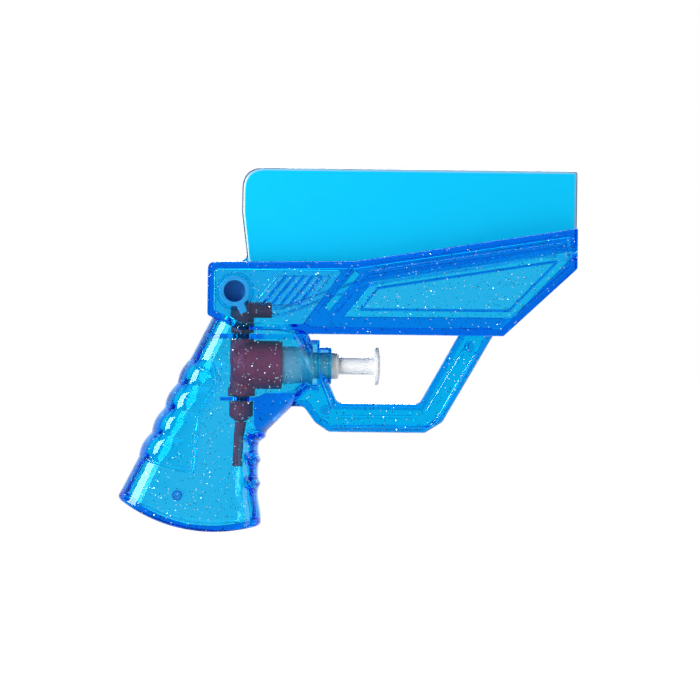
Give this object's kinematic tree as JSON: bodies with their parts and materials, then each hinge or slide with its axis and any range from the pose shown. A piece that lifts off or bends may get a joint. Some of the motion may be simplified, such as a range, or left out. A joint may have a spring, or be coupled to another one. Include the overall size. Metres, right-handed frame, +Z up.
{
  "type": "toy water squirter",
  "caption": "See-through pistol-shaped toy water squirter with a spring-returned push plunger, ball-valve pump, filler plug, trigger guard and flat labelled fin.",
  "frame": {"origin": "on the mid-plane in the middle of the grip, where a hand closes round it", "axes": "+X to the muzzle, +Y to the left side, +Z up when the squirter is held level"},
  "size_m": [0.1578, 0.0278, 0.1274],
  "materials": {
    "clear_blue": "polished see-through plastic with fine glitter",
    "blue_plug": "satin, soft",
    "label_film": "flat printed film",
    "wine_red": "satin",
    "white": "satin",
    "black_rubber": "matte",
    "steel": "bright",
    "clear_tube": "clear, soft"
  },
  "bodies": {
    "body": {"right_shell": "clear_blue", "left_shell": "clear_blue", "right_label": "label_film", "left_label": "label_film", "pump_body": "wine_red", "inlet_valve_cap": "wine_red", "dip_tube": "wine_red", "outlet_elbow": "wine_red", "pump_sleeve": "white", "nozzle": "white", "sleeve_washer": "black_rubber", "return_spring": "steel", "outlet_spring": "steel", "delivery_tube": "clear_tube"},
    "plunger": {"plunger": "white", "piston_head": "white", "piston_seal": "black_rubber"},
    "filler_plug": {"filler_plug": "blue_plug"},
    "inlet_ball": {"inlet_ball": "steel"},
    "outlet_ball": {"outlet_ball": "steel"}
  },
  "joints": [
    {"name": "plunger_press", "type": "slide", "parent": "body", "child": "plunger", "axis": [-1, 0, 0], "range_m": [0, 0.011], "stiffness_N_per_m": 400, "springref_m": -0.006, "deforming": ["return_spring"]},
    {"name": "filler_plug_pull", "type": "slide", "parent": "body", "child": "filler_plug", "axis": [0, -1, 0], "range_m": [0, 0.02]},
    {"name": "inlet_ball_lift", "type": "slide", "parent": "body", "child": "inlet_ball", "axis": [0, 0, 1], "range_m": [0, 0.001]},
    {"name": "outlet_ball_lift", "type": "slide", "parent": "body", "child": "outlet_ball", "axis": [0, 0, 1], "range_m": [0, 0.001], "stiffness_N_per_m": 30, "springref_m": -0.001, "deforming": ["outlet_spring"]}
  ]
}
